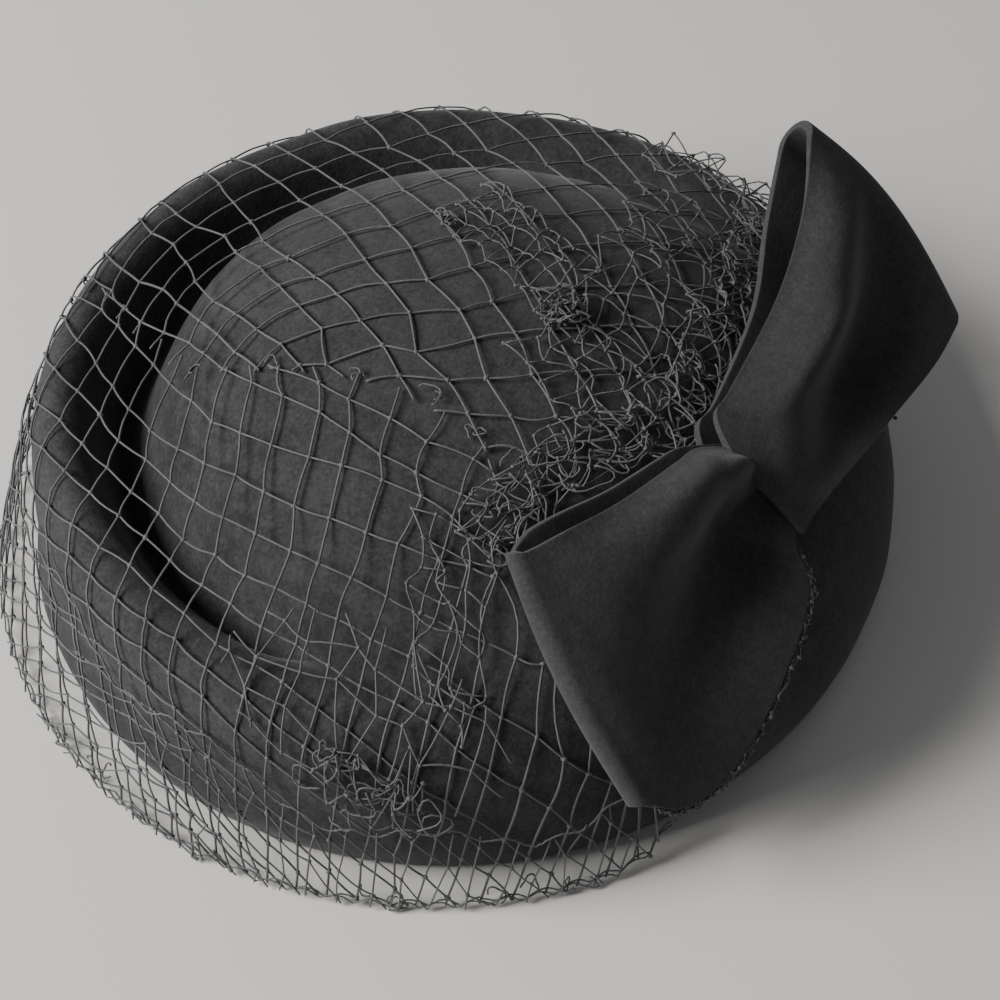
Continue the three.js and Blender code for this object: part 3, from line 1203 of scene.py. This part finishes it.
@dataclass
class NetPanel:
    """One run of square-meshed net, tied at its crossings and drawn in beside the bow.

    Attributes:
        span: The threads of the first family that are laid, counted in cells.
        drop: The threads of the second family.
        lie: How far outside the form it lies, in metres.
        stand: How much higher the loosest net stands.
        shake: How uneven its knots are, in metres.
        slack: How much more uneven the loosest net's knots are.
        sway: How far a thread bends aside between knots, for its length, and how much more if loose.
        arch: How much higher it stands between knots, in metres, and how much more if loose.
        shift: How far this layer is moved along both families, in cells.
        patch: Tells which flat places this layer covers, where it doesn't cover all.
        overlap: How far the back run's cut threads reach over the crease, in metres.
        crease_start: The flat x from which the two runs are no longer one, in metres.
        run_on: How far the back run reaches over before that, where the net is whole, in metres.
        per_cell: The steps along a thread from knot to knot.
        halvings: How closely a cut end is found, in halvings of a step.
    """

    panel: Panel
    table: NetTable
    span: range
    drop: range
    form: VeilForm
    seed: int
    lie: float = -0.0004
    stand: float = 0.0042
    shake: float = 0.00045
    slack: float = 0.0016
    sway: Span = (0.022, 0.3)
    arch: Span = (0.0003, 0.0012)
    shift: float = 0.0
    patch: Callable[[Point], bool] | None = None
    overlap: float = 0.0014
    crease_start: float = -0.046
    run_on: float = 0.0036
    per_cell: int = 5
    halvings: int = 7

    def __post_init__(self) -> None:
        """Starts the random draws."""
        self.draw = random.Random(self.seed)

    @staticmethod
    def crease(x: float) -> float:
        """The flat y, in metres, at which the two runs meet."""
        return float(np.interp(x / MM, *zip(*MEETING))) * MM

    def _holds(self, p: Point) -> bool:
        """Whether a flat place is on this run and within the hem.

        Args:
            p: The flat place.

        Returns:
            True where the run is laid.
        """
        if self.panel is Panel.FRONT:
            on_side = p[1] < self.crease(p[0])
        else:
            reach = self.overlap if p[0] > self.crease_start else self.run_on
            on_side = p[1] >= self.crease(p[0]) - reach
        return on_side and (self.patch is None or self.patch(p)) and self.form.covers(p)

    def _knot(self, u: float, v: float) -> tuple[Point, float]:
        """A knot's flat place and how loose the net is there.

        Args:
            u: Its thread in the first family.
            v: Its thread in the second.

        Returns:
            The place, and a looseness from 0 to 1.
        """
        p, loose = BOW_GATHER.pulled(self.table.flat(u + self.shift, v + self.shift))
        spread = self.shake + self.slack * loose
        return p + np.array([self.draw.gauss(0, spread), self.draw.gauss(0, spread)]), loose

    def lay(self, book: ThreadBook) -> None:
        """Lays the run's threads and knots into a book.

        Args:
            book: The book that takes the threads.
        """
        knots = {(u, v): self._knot(u, v) for u in self.span for v in self.drop}
        lifts = {
            at: self.lie + self.stand * loose * self.draw.random() for at, (_, loose) in knots.items()
        }
        for at, (p, _) in knots.items():
            if self._holds(p):
                book.knots.append(self.form.place(p[0], p[1], lifts[at]))
        for u in self.span:
            self._run(book, [(*knots[u, v], lifts[u, v]) for v in self.drop])
        for v in self.drop:
            self._run(book, [(*knots[u, v], lifts[u, v]) for u in self.span])

    def _run(self, book: ThreadBook, stops: list[tuple[Point, float, float]]) -> None:
        """Lays one thread through its knots, as far as it is on this run.

        Args:
            book: The book that takes the threads.
            stops: The flat place, looseness and lift of each knot.
        """
        piece: list[Point] = []
        last: tuple[Point, float] | None = None
        for (a, loose, low), (b, _, high) in zip(stops, stops[1:]):
            bend = self.draw.gauss(0, self.sway[0] + self.sway[1] * loose)
            aside = np.array([a[1] - b[1], b[0] - a[0]]) * bend
            arch = self.arch[0] + self.arch[1] * loose * self.draw.random()
            for k in range(self.per_cell):
                w = k / self.per_cell
                p = a + (b - a) * w + aside * math.sin(math.pi * w)
                lift = low + (high - low) * w + arch * math.sin(math.pi * w)
                if self._holds(p):
                    if not piece and last is not None:
                        piece.append(self._edge(p, last[0], lift))
                    piece.append(self.form.place(p[0], p[1], lift))
                elif piece:
                    piece.append(self._edge(last[0], p, lift))
                    book.add(piece)
                    piece = []
                last = (p, lift)
        book.add(piece)

    def _edge(self, within: Point, beyond: Point, lift: float) -> Point:
        """Finds the point at which a thread leaves this run.

        Args:
            within: A flat place on the run.
            beyond: The next one, off the run.
            lift: How far outside the form the thread stands.

        Returns:
            The last point of the thread.
        """
        for _ in range(self.halvings):
            middle = (within + beyond) / 2
            if self._holds(middle):
                within = middle
            else:
                beyond = middle
        return self.form.place(within[0], within[1], lift)


@dataclass
class Crumple:
    """A crushed patch of net, with small uneven cells that stand up in places.

    Attributes:
        rows: How many threads it has one way.
        columns: How many it has the other way.
        shake: How uneven its knots are in metres.
        lift: The lowest and highest that it stands off the form.
        missing: The share of threads between knots that are left out.
        rareness: The power that makes the high knots rarer than the low ones.
        steps: The steps along a thread from knot to knot.
        arch: How much higher a thread stands halfway between its knots, in metres.
    """

    form: VeilForm
    rows: int
    columns: int
    shake: float
    lift: Span
    seed: int
    missing: float = 0.14
    rareness: float = 1.6
    steps: int = 4
    arch: float = 0.0005

    def lay(self, book: ThreadBook, where: Callable[[float, float], Point]) -> None:
        """Lays the patch.

        Args:
            book: The book that takes the threads.
            where: Gives a flat place for a share along the rows and a share along the columns.
        """
        draw = random.Random(self.seed)
        places, lifts = {}, {}
        for i in range(self.rows):
            for j in range(self.columns):
                p = where(i / (self.rows - 1), j / (self.columns - 1))
                places[i, j] = p + np.array([draw.gauss(0, self.shake), draw.gauss(0, self.shake)])
                rise = draw.random() ** self.rareness
                lifts[i, j] = self.lift[0] + (self.lift[1] - self.lift[0]) * rise
        lines = [[(i, j) for j in range(self.columns)] for i in range(self.rows)]
        lines += [[(i, j) for i in range(self.rows)] for j in range(self.columns)]
        for line in lines:
            table = np.array([(*places[at], lifts[at]) for at in line])
            piece: list[Point] = []
            for k in range(len(line) - 1):
                for step in range(self.steps + 1):
                    x, y, lift = catmull(table, k + step / self.steps)
                    raised = lift + self.arch * math.sin(math.pi * step / self.steps)
                    piece.append(self.form.held(np.array([x, y]), raised))
                if draw.random() < self.missing:
                    book.add(piece)
                    piece = []
            book.add(piece)
        for at, p in places.items():
            book.knots.append(self.form.held(p, lifts[at]))


@dataclass
class Tangle:
    """Small loose loops of slack thread.

    Attributes:
        count: How many loops there are.
        size: The smallest and largest loop's half width in metres.
        lift: The lowest and highest that they stand off the form.
        roundness: The smallest and largest share of a loop's width that it has in height.
        sweep: How far a loop goes round, in half turns.
        wander: How far its middle drifts, for its size.
        kink: The smallest and largest share by which it isn't round.
        steps: The points along it.
    """

    form: VeilForm
    count: int
    size: Span
    lift: Span
    seed: int
    roundness: Span = (0.45, 1.0)
    sweep: Span = (1.1, 2.1)
    wander: float = 0.35
    kink: Span = (0.1, 0.3)
    steps: int = 15

    def lay(self, book: ThreadBook, where: Callable[[random.Random], Point]) -> None:
        """Lays the loops.

        Args:
            book: The book that takes the threads.
            where: Draws the flat place of a loop's middle.
        """
        draw = random.Random(self.seed)
        for _ in range(self.count):
            self._loop(book, draw, where(draw))

    def _loop(self, book: ThreadBook, draw: random.Random, middle: Point) -> None:
        """Lays one loop that starts and ends away from where it crosses itself.

        Args:
            book: The book that takes the threads.
            draw: The random draws.
            middle: The flat place of the loop's middle.
        """
        size = draw.uniform(*self.size)
        flat = draw.uniform(*self.roundness)
        turn = draw.uniform(0, 2 * math.pi)
        length = draw.uniform(*self.sweep) * math.pi
        drift = np.array([draw.gauss(0, size * self.wander), draw.gauss(0, size * self.wander)])
        low, high = sorted((draw.uniform(*self.lift), draw.uniform(*self.lift)))
        kink, phase = draw.uniform(*self.kink), draw.uniform(*ANY_TURN)
        line = []
        for k in range(self.steps):
            t = length * k / (self.steps - 1)
            r = size * (1 + kink * math.sin(3 * t + phase))
            x, y = r * math.cos(t), r * flat * math.sin(t)
            p = middle + drift * t / math.pi
            p = p + np.array([
                x * math.cos(turn) - y * math.sin(turn), x * math.sin(turn) + y * math.cos(turn)
            ])
            line.append(self.form.held(p, low + (high - low) * 0.5 * (1 - math.cos(t + phase))))
        book.add(line)


@dataclass
class FrayedEdge:
    """The net's frayed edge that shows along a bow loop's lower side.

    Attributes:
        sections: The loop's sections.
        strands: How many threads it has.
        steps: The points along each.
        start: Where it starts along the loop, in sections.
        length: How far it runs, in sections.
        below: How far below the felt's edge it lies, in metres, and how far it waves up and down.
        loose: How uneven its points are, in metres.
        knots: The share of points that are knots.
    """

    sections: tuple[LoopSection, ...]
    strands: int = 3
    steps: int = 110
    start: float = 1.0
    length: float = 4.6
    below: Span = (0.0006, 0.0004)
    loose: float = 0.0004
    knots: float = 0.08
    seed: int = 37

    def lay(self, book: ThreadBook) -> None:
        """Lays the edge.

        Args:
            book: The book that takes the threads.
        """
        draw = random.Random(self.seed)
        sections = in_frame(self.sections)
        lowers = np.array([section.lower for section in sections]) * MM
        uppers = np.array([section.upper for section in sections]) * MM
        for strand in range(self.strands):
            line = []
            for k in range(self.steps):
                place = self.start + self.length * k / (self.steps - 1)
                low, high = catmull(lowers, place), catmull(uppers, place)
                down = (low - high) / np.linalg.norm(low - high)
                loose = np.array([draw.gauss(0, self.loose) for _ in range(3)])
                depth = self.below[0] + self.below[1] * math.sin(k * 0.8 + strand * 2)
                line.append(low + down * depth + loose)
                if draw.random() < self.knots:
                    book.knots.append(line[-1])
            book.add(line)


@dataclass
class NetVeil:
    """The veil: two runs of net, the turned-up hem, and the slack beside the bow and along the crease.

    Attributes:
        radius: Half a thread's thickness in metres.
        knot: Half a knot's width in metres.
        fine: How much finer the crushed net's thread is drawn.
        flat: The net's width and length before it is draped, in metres; not used.
        thread_area: What the net's own threads cover of it, in square metres; not used.
        hem: Where the hem starts and ends beside the bow, in degrees round the crown.
        turned: Between which degrees it is turned up.
        turned_edge: How far from the crown's middle the turned-up hem's edge lies.
        corner: The middle of the overturned corner at the front, flat in metres.
        corner_size: That corner's half length and half width.
    """

    # The waves of the turned-up edge: height in metres, count round the crown, and phase in radians.
    WAVES = ((0.005, 5, 0.6), (0.003, 13, 0.0))
    # How much nearer that edge comes to the crown, where, and over how many degrees to each side.
    NEARER = (0.016, 228.0, 42.0)
    # The hem's two threads: how far outside the form each is, and the phase of its scallops.
    HEM_THREADS = ((0.0, 0.0), (0.0006, 0.54))
    SCALLOPS = 48
    SCALLOP = 0.0016

    form: VeilForm
    finish: NetFinish
    radius: float = 0.00026
    knot: float = 0.00066
    fine: float = 0.82
    flat: Span = (0.25, 0.29)
    thread_area: float = 0.0218
    hem: Span = (56.0, 326.0)
    turned: Span = (194.0, 320.0)
    turned_edge: float = 0.119
    corner: Span = (0.030, -0.091)
    corner_size: Span = (0.034, 0.017)

    def build(self) -> bpy.types.Object:
        """Builds the veil as one piece.

        Returns:
            The finished piece.
        """
        runs = [
            self._laid(self._runs, "net_runs", 1.0),
            self._laid(self._hem, "net_hem", self.fine),
            self._laid(self._gather, "net_gather", self.fine),
            self._laid(self._slack, "net_slack", self.fine),
        ]
        Bench.only(runs[0])
        for run in runs:
            run.select_set(True)
        bpy.ops.object.join()
        veil = bpy.context.object
        veil.name = "net_veil"
        Bench.close(veil)
        Bench.smooth(veil)
        Bench.dress(veil, self.finish.material(), "net", "veil")
        return veil

    def _laid(self, lay: Callable[[ThreadBook], None], name: str, fine: float) -> bpy.types.Object:
        """Makes a mesh of what a method lays, with its thread made finer by a factor.

        Args:
            lay: Lays threads into a book.
            name: The mesh's name.
            fine: The factor.

        Returns:
            The mesh object.
        """
        book = ThreadBook(self.radius * fine, self.knot * fine)
        lay(book)
        return book.mesh(name)

    def _runs(self, book: ThreadBook) -> None:
        """Lays the front run and the back run."""
        NetPanel(Panel.FRONT, LOWER_TABLE, range(-16, 27), range(-3, 17), self.form, seed=5).lay(book)
        NetPanel(Panel.BACK, UPPER_TABLE, range(-16, 22), range(-30, 3), self.form, seed=6).lay(book)

    def _edge(self, turn: float) -> float:
        """How far from the crown's middle the turned-up hem's edge lies, for a turn in radians.

        Args:
            turn: The direction round the crown.

        Returns:
            The distance in metres.
        """
        waves = sum(height * math.sin(count * turn + phase) for height, count, phase in self.WAVES)
        depth, middle, over = self.NEARER
        nearer = smoothstep(1 - abs(math.degrees(turn) % 360 - middle) / over)
        return self.turned_edge + waves - depth * float(nearer)

    def _turned_up(self, p: Point) -> bool:
        """Whether the turned-up hem covers a flat place."""
        return math.hypot(p[0], p[1]) > self._edge(math.atan2(p[1], p[0]))

    def _front_corner(self, p: Point) -> bool:
        """Whether the overturned corner at the front covers a flat place."""
        return sum(((p[k] - self.corner[k]) / self.corner_size[k]) ** 2 for k in (0, 1)) < 1.0

    def _hem(self, book: ThreadBook) -> None:
        """Lays the turned-up hem, the overturned corner, and the threads along their edges.

        Args:
            book: The book that takes the threads.
        """
        span, drop = range(-16, 27), range(3, 17)
        NetPanel(
            Panel.FRONT, LOWER_TABLE, span, drop, self.form, seed=7,
            lie=0.0006, shake=0.0012, shift=0.45, patch=self._turned_up,
        ).lay(book)
        NetPanel(
            Panel.FRONT, LOWER_TABLE, span, drop, self.form, seed=17,
            lie=0.0008, shake=0.0021, shift=0.42, patch=self._front_corner,
        ).lay(book)
        draw = random.Random(8)
        for lift, phase in self.HEM_THREADS:
            book.add(self._hem_thread(draw, lift, phase))
        book.add(self._turned_thread(draw))
        loops = Tangle(self.form, count=60, size=(0.0009, 0.0028), lift=(-0.0002, 0.0012), seed=9)
        loops.lay(book, self._on_hem)

    def _hem_thread(self, draw: random.Random, lift: float, phase: float) -> list[Point]:
        """Draws one of the two threads along the hem, scalloped from cell to cell.

        Args:
            draw: The random draws.
            lift: How far outside the form the thread stands.
            phase: The phase of its scallops in radians.

        Returns:
            The thread's points.
        """
        line = []
        for turn in np.radians(np.arange(*self.hem, 0.5)):
            x, y = math.cos(turn), math.sin(turn)
            dip = abs(math.sin(turn * self.SCALLOPS + phase)) * self.SCALLOP + draw.gauss(0, 0.00012)
            far = self.form.reach(x, y) - 0.0008 - dip
            line.append(self.form.place(x * far, y * far, lift))
        return line

    def _turned_thread(self, draw: random.Random) -> list[Point]:
        """Draws the thread along the edge of the turned-up hem.

        Args:
            draw: The random draws.

        Returns:
            The thread's points.
        """
        line = []
        for turn in np.radians(np.arange(*self.turned, 0.3)):
            far = self._edge(turn) + 0.0008 * math.sin(turn * 61) + draw.gauss(0, 0.0001)
            line.append(self.form.place(math.cos(turn) * far, math.sin(turn) * far, 0.0009))
        return line

    def _on_hem(self, draw: random.Random) -> Point:
        """Draws a flat place near the hem.

        Args:
            draw: The random draws.

        Returns:
            The flat place.
        """
        turn = math.radians(draw.uniform(self.hem[0] + 4, self.hem[1] - 4))
        far = self.form.reach(math.cos(turn), math.sin(turn)) - abs(draw.gauss(0, 0.003))
        return np.array([math.cos(turn), math.sin(turn)]) * far

    def _gather(self, book: ThreadBook) -> None:
        """Lays the crushed net along the bow, the looser net on the crown, and the tied bunch.

        Args:
            book: The book that takes the threads.
        """
        form = self.form
        Crumple(form, rows=36, columns=6, shake=0.0014, lift=(0.0, 0.0030), seed=41, missing=0.18).lay(
            book, lambda share, aside: BOW_GATHER.at(share, 0.0005 + 0.0125 * aside)
        )
        Crumple(form, rows=19, columns=6, shake=0.0016, lift=(-0.0002, 0.0011), seed=42, missing=0.2).lay(
            book, lambda share, aside: BOW_GATHER.at(0.22 + 0.78 * share, 0.010 + 0.026 * aside)
        )
        Crumple(form, rows=8, columns=5, shake=0.0014, lift=(-0.0002, 0.0010), seed=43, missing=0.2).lay(
            book, Patch((0.036, -0.050), (0.016, -0.034), (-0.016, 0.0)).at
        )
        Crumple(form, rows=6, columns=6, shake=0.0011, lift=(0.0004, 0.0050), seed=44, missing=0.1).lay(
            book, Patch((0.0165, 0.0035), (0.007, 0.0), (0.0, 0.007)).at
        )
        Tangle(form, count=40, size=(0.0016, 0.0052), lift=(0.0002, 0.0042), seed=21).lay(
            book, lambda draw: BOW_GATHER.at(draw.random(), abs(draw.gauss(0, 0.007)))
        )
        Tangle(form, count=12, size=(0.0010, 0.0030), lift=(0.0002, 0.0046), seed=22).lay(
            book, lambda draw: near(draw, (0.020, 0.007), (0.0012, 0.0012))
        )

    def _slack(self, book: ThreadBook) -> None:
        """Lays the small loops and bunches on the crease, at the front, over the rim and by the bow.

        Args:
            book: The book that takes the threads.
        """
        form = self.form
        Tangle(form, count=16, size=(0.0022, 0.0050), lift=(0.003, 0.0125), seed=36).lay(
            book, lambda draw: near(draw, (0.044, 0.072), (0.004, 0.006))
        )
        FrayedEdge(FRONT_SECTIONS).lay(book)
        Tangle(form, count=9, size=(0.0009, 0.0019), lift=(-0.0003, 0.0009), seed=31).lay(
            book, lambda draw: CREASE.at(draw.random(), draw.gauss(0, 0.0012))
        )
        Crumple(form, rows=6, columns=4, shake=0.0020, lift=(0.0002, 0.0026), seed=51).lay(
            book, Patch((0.028, -0.110), (0.020, 0.0), (0.0, 0.012)).at
        )
        Tangle(form, count=12, size=(0.0016, 0.0046), lift=(0.0002, 0.0026), seed=32).lay(
            book, lambda draw: near(draw, (0.038, -0.104), (0.006, 0.004))
        )
        Crumple(form, rows=5, columns=3, shake=0.0007, lift=(0.0, 0.0012), seed=52).lay(
            book, Patch((-0.0185, 0.0215), (0.0045, -0.001), (0.0, 0.002)).at
        )
        Crumple(form, rows=10, columns=6, shake=0.0011, lift=(-0.0001, 0.0018), seed=54, missing=0.15).lay(
            book, Patch((-0.0165, 0.0190), (0.036, -0.0135), (0.0005, 0.0195)).at
        )
        Crumple(form, rows=11, columns=5, shake=0.0014, lift=(0.0008, 0.0085), seed=53, missing=0.2).lay(
            book, lambda share, aside: ring_place(50 + 38 * share, 0.080 + 0.014 * aside)
        )
        Tangle(form, count=16, size=(0.0020, 0.0050), lift=(0.0010, 0.0085), seed=34).lay(
            book, lambda draw: ring_place(draw.uniform(48, 80), draw.gauss(0.088, 0.004))
        )


# ---------------------------------------------------------------- stage


@dataclass
class Studio:
    """The plain floor, the soft lights and the camera.

    Attributes:
        target: What the camera and the lamps face, in metres.
        azimuth: The camera's turn from straight in front toward the bow, in degrees.
        elevation: Its height above level, in degrees.
        distance: How far it stands from what it faces, in metres.
        lens: Its focal length in millimetres.
        sensor: Its sensor's width in millimetres.
        aside: How far to the right of the target it is aimed, in metres.
        below: How far below the target.
        floor_size: The floor's side in metres.
        sky: The strength of the even sky.
    """

    target: tuple[float, float, float] = (0.0058, 0.0, 0.03)
    azimuth: float = 30.0
    elevation: float = 48.0
    distance: float = 0.65
    lens: float = 105.3
    aside: float = 0.0071
    below: float = 0.0144
    sensor: float = 36.0
    floor_size: float = 8.0
    sky: float = 0.2

    def build(self) -> None:
        """Builds the stage."""
        self._floor()
        self._lights()
        self._camera()

    def _floor(self) -> None:
        """Adds the floor."""
        bpy.ops.object.select_all(action="DESELECT")
        bpy.ops.mesh.primitive_plane_add(size=self.floor_size, location=(0, 0, -0.0001))
        floor = bpy.context.object
        floor.name = "floor"
        floor.data.materials.append(FloorFinish("pale_floor", (0.62, 0.605, 0.58)).material())

    def _lights(self) -> None:
        """Adds the lights and a dim even sky."""
        world = bpy.data.worlds.new("sky")
        world.use_nodes = True
        background = world.node_tree.nodes["Background"]
        background.inputs["Color"].default_value = (0.93, 0.95, 1.0, 1.0)
        background.inputs["Strength"].default_value = self.sky
        bpy.context.scene.world = world
        self._lamp("window", (-0.84, -0.76, 0.80), 0.7, 40.0, (1.0, 0.99, 0.97))
        self._lamp("room", (0.1, 1.1, 1.0), 1.0, 0.8, (1.0, 0.98, 0.95))

    def _lamp(self, name: str, where: Sequence[float], size: float, watts: float, colour: Colour) -> None:
        """Adds one square area light that faces the object.

        Args:
            name: The lamp's name.
            where: Its place in metres.
            size: Its side in metres.
            watts: Its power.
            colour: Its colour.
        """
        data = bpy.data.lights.new(name, "AREA")
        data.shape, data.size, data.energy, data.color = "SQUARE", size, watts, colour
        lamp = Bench.link(name, data)
        lamp.location = where
        lamp.rotation_euler = (Vector(self.target) - Vector(where)).to_track_quat("-Z", "Y").to_euler()

    def _camera(self) -> None:
        """Adds the camera."""
        a, e = math.radians(self.azimuth), math.radians(self.elevation)
        back = Vector((math.sin(a) * math.cos(e), -math.cos(a) * math.cos(e), math.sin(e)))
        right = Vector((math.cos(a), math.sin(a), 0.0))
        up = back.cross(right)
        data = bpy.data.cameras.new("camera")
        data.lens, data.sensor_width = self.lens, self.sensor
        camera = Bench.link("camera", data)
        aim = Vector(self.target) + right * self.aside - up * self.below
        camera.location = aim + back * self.distance
        camera.rotation_euler = (-back).to_track_quat("-Z", "Y").to_euler()
        bpy.context.scene.camera = camera


def main() -> None:
    """Builds the stage and every piece; each piece logs its size and hides the CAD nodes that it stands
    for.
    """
    logging.basicConfig(level=logging.INFO, format="%(name)s: %(message)s")
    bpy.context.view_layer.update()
    Studio().build()
    blocked = FeltFinish(
        "blocked_felt", (0.0295, 0.0295, 0.031),
        grain=0.0009, bump=0.00042, fibre=0.22, sheen=0.12, mottle=0.38,
    )
    pressed = FeltFinish(
        "pressed_felt", (0.035, 0.035, 0.0365),
        grain=0.0008, bump=0.00026, fibre=0.2, sheen=0.12, mottle=0.24,
    )
    FeltShell(blocked).build()
    BowLoop(
        "bow_front_felt", ("bow_front_loop",), pressed, in_frame(FRONT_SECTIONS),
        flat=(0.05, 0.16), bulge=3.0,
    ).build()
    BowLoop(
        "bow_back_felt", ("bow_back_loop", "bow_band"), pressed, in_frame(BACK_SECTIONS),
        flat=(0.045, 0.19), bulge=4.6, underlap=0.0,
    ).build()
    NetVeil(VeilForm(), NetFinish("net_thread", (0.072, 0.074, 0.076))).build()


if __name__ == "__main__":
    main()
